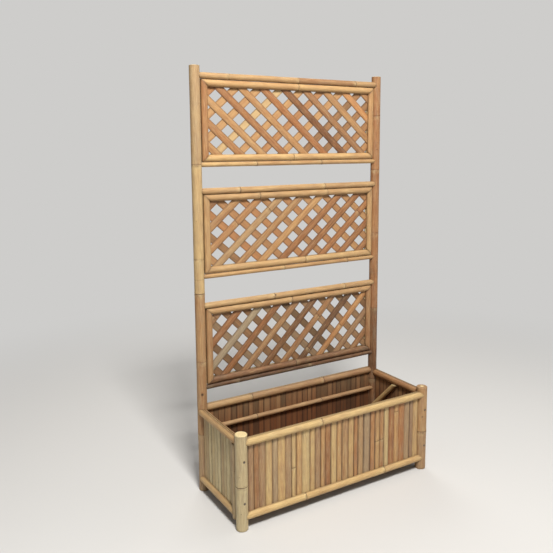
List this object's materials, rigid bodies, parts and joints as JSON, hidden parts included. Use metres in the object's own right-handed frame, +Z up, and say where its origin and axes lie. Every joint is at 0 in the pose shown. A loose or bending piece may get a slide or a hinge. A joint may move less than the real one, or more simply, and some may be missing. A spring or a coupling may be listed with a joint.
{
  "type": "planter with trellis",
  "caption": "Raised bamboo planter box on corner posts, with tall rear posts that carry framed diamond lattice panels for climbing plants.",
  "frame": {"origin": "on the ground, in the middle of the footprint of the four posts", "axes": "+Z up, +X to the right seen from the front, +Y to the rear, where the trellis stands"},
  "size_m": [1.0102, 0.4111, 1.85],
  "materials": {
    "post_culm": "weathered bamboo skin",
    "pole_culm": "weathered bamboo skin",
    "frame_half_culm": "weathered bamboo skin",
    "rail_half_culm": "weathered bamboo skin",
    "lattice_split": "weathered split bamboo",
    "wall_split": "weathered split bamboo",
    "floor_split": "weathered split bamboo",
    "screw_steel": "dull zinc"
  },
  "bodies": {
    "root": {"floor_slats": "floor_split", "front_bottom_rail_inner_half": "rail_half_culm", "front_bottom_rail_outer_half": "rail_half_culm", "front_left_post": "post_culm", "front_right_post": "post_culm", "front_top_rail_inner_half": "rail_half_culm", "front_top_rail_outer_half": "rail_half_culm", "front_wall_slats": "wall_split", "left_bottom_rail_inner_half": "rail_half_culm", "left_bottom_rail_outer_half": "rail_half_culm", "left_corner_pole": "pole_culm", "left_knee_brace": "pole_culm", "left_top_rail_inner_half": "rail_half_culm", "left_top_rail_outer_half": "rail_half_culm", "left_wall_slats": "wall_split", "lower_panel_back_frame": "frame_half_culm", "lower_panel_back_lattice": "lattice_split", "lower_panel_front_bottom_rail": "frame_half_culm", "lower_panel_front_lattice": "lattice_split", "lower_panel_front_left_stile": "frame_half_culm", "lower_panel_front_right_stile": "frame_half_culm", "lower_panel_front_top_rail": "frame_half_culm", "lower_panel_lower_pole": "pole_culm", "lower_panel_upper_pole": "pole_culm", "middle_panel_back_frame": "frame_half_culm", "middle_panel_back_lattice": "lattice_split", "middle_panel_front_bottom_rail": "frame_half_culm", "middle_panel_front_lattice": "lattice_split", "middle_panel_front_left_stile": "frame_half_culm", "middle_panel_front_right_stile": "frame_half_culm", "middle_panel_front_top_rail": "frame_half_culm", "middle_panel_lower_pole": "pole_culm", "middle_panel_upper_pole": "pole_culm", "post_screws": "screw_steel", "rear_bottom_rail_inner_half": "rail_half_culm", "rear_bottom_rail_outer_half": "rail_half_culm", "rear_left_post": "post_culm", "rear_mid_rail": "pole_culm", "rear_right_post": "post_culm", "rear_top_rail_inner_half": "rail_half_culm", "rear_top_rail_outer_half": "rail_half_culm", "rear_wall_slats": "wall_split", "right_bottom_rail_inner_half": "rail_half_culm", "right_bottom_rail_outer_half": "rail_half_culm", "right_corner_pole": "pole_culm", "right_knee_brace": "pole_culm", "right_top_rail_inner_half": "rail_half_culm", "right_top_rail_outer_half": "rail_half_culm", "right_wall_slats": "wall_split", "upper_panel_back_frame": "frame_half_culm", "upper_panel_back_lattice": "lattice_split", "upper_panel_front_bottom_rail": "frame_half_culm", "upper_panel_front_lattice": "lattice_split", "upper_panel_front_left_stile": "frame_half_culm", "upper_panel_front_right_stile": "frame_half_culm", "upper_panel_front_top_rail": "frame_half_culm", "upper_panel_lower_pole": "pole_culm", "upper_panel_upper_pole": "pole_culm"}
  },
  "joints": []
}
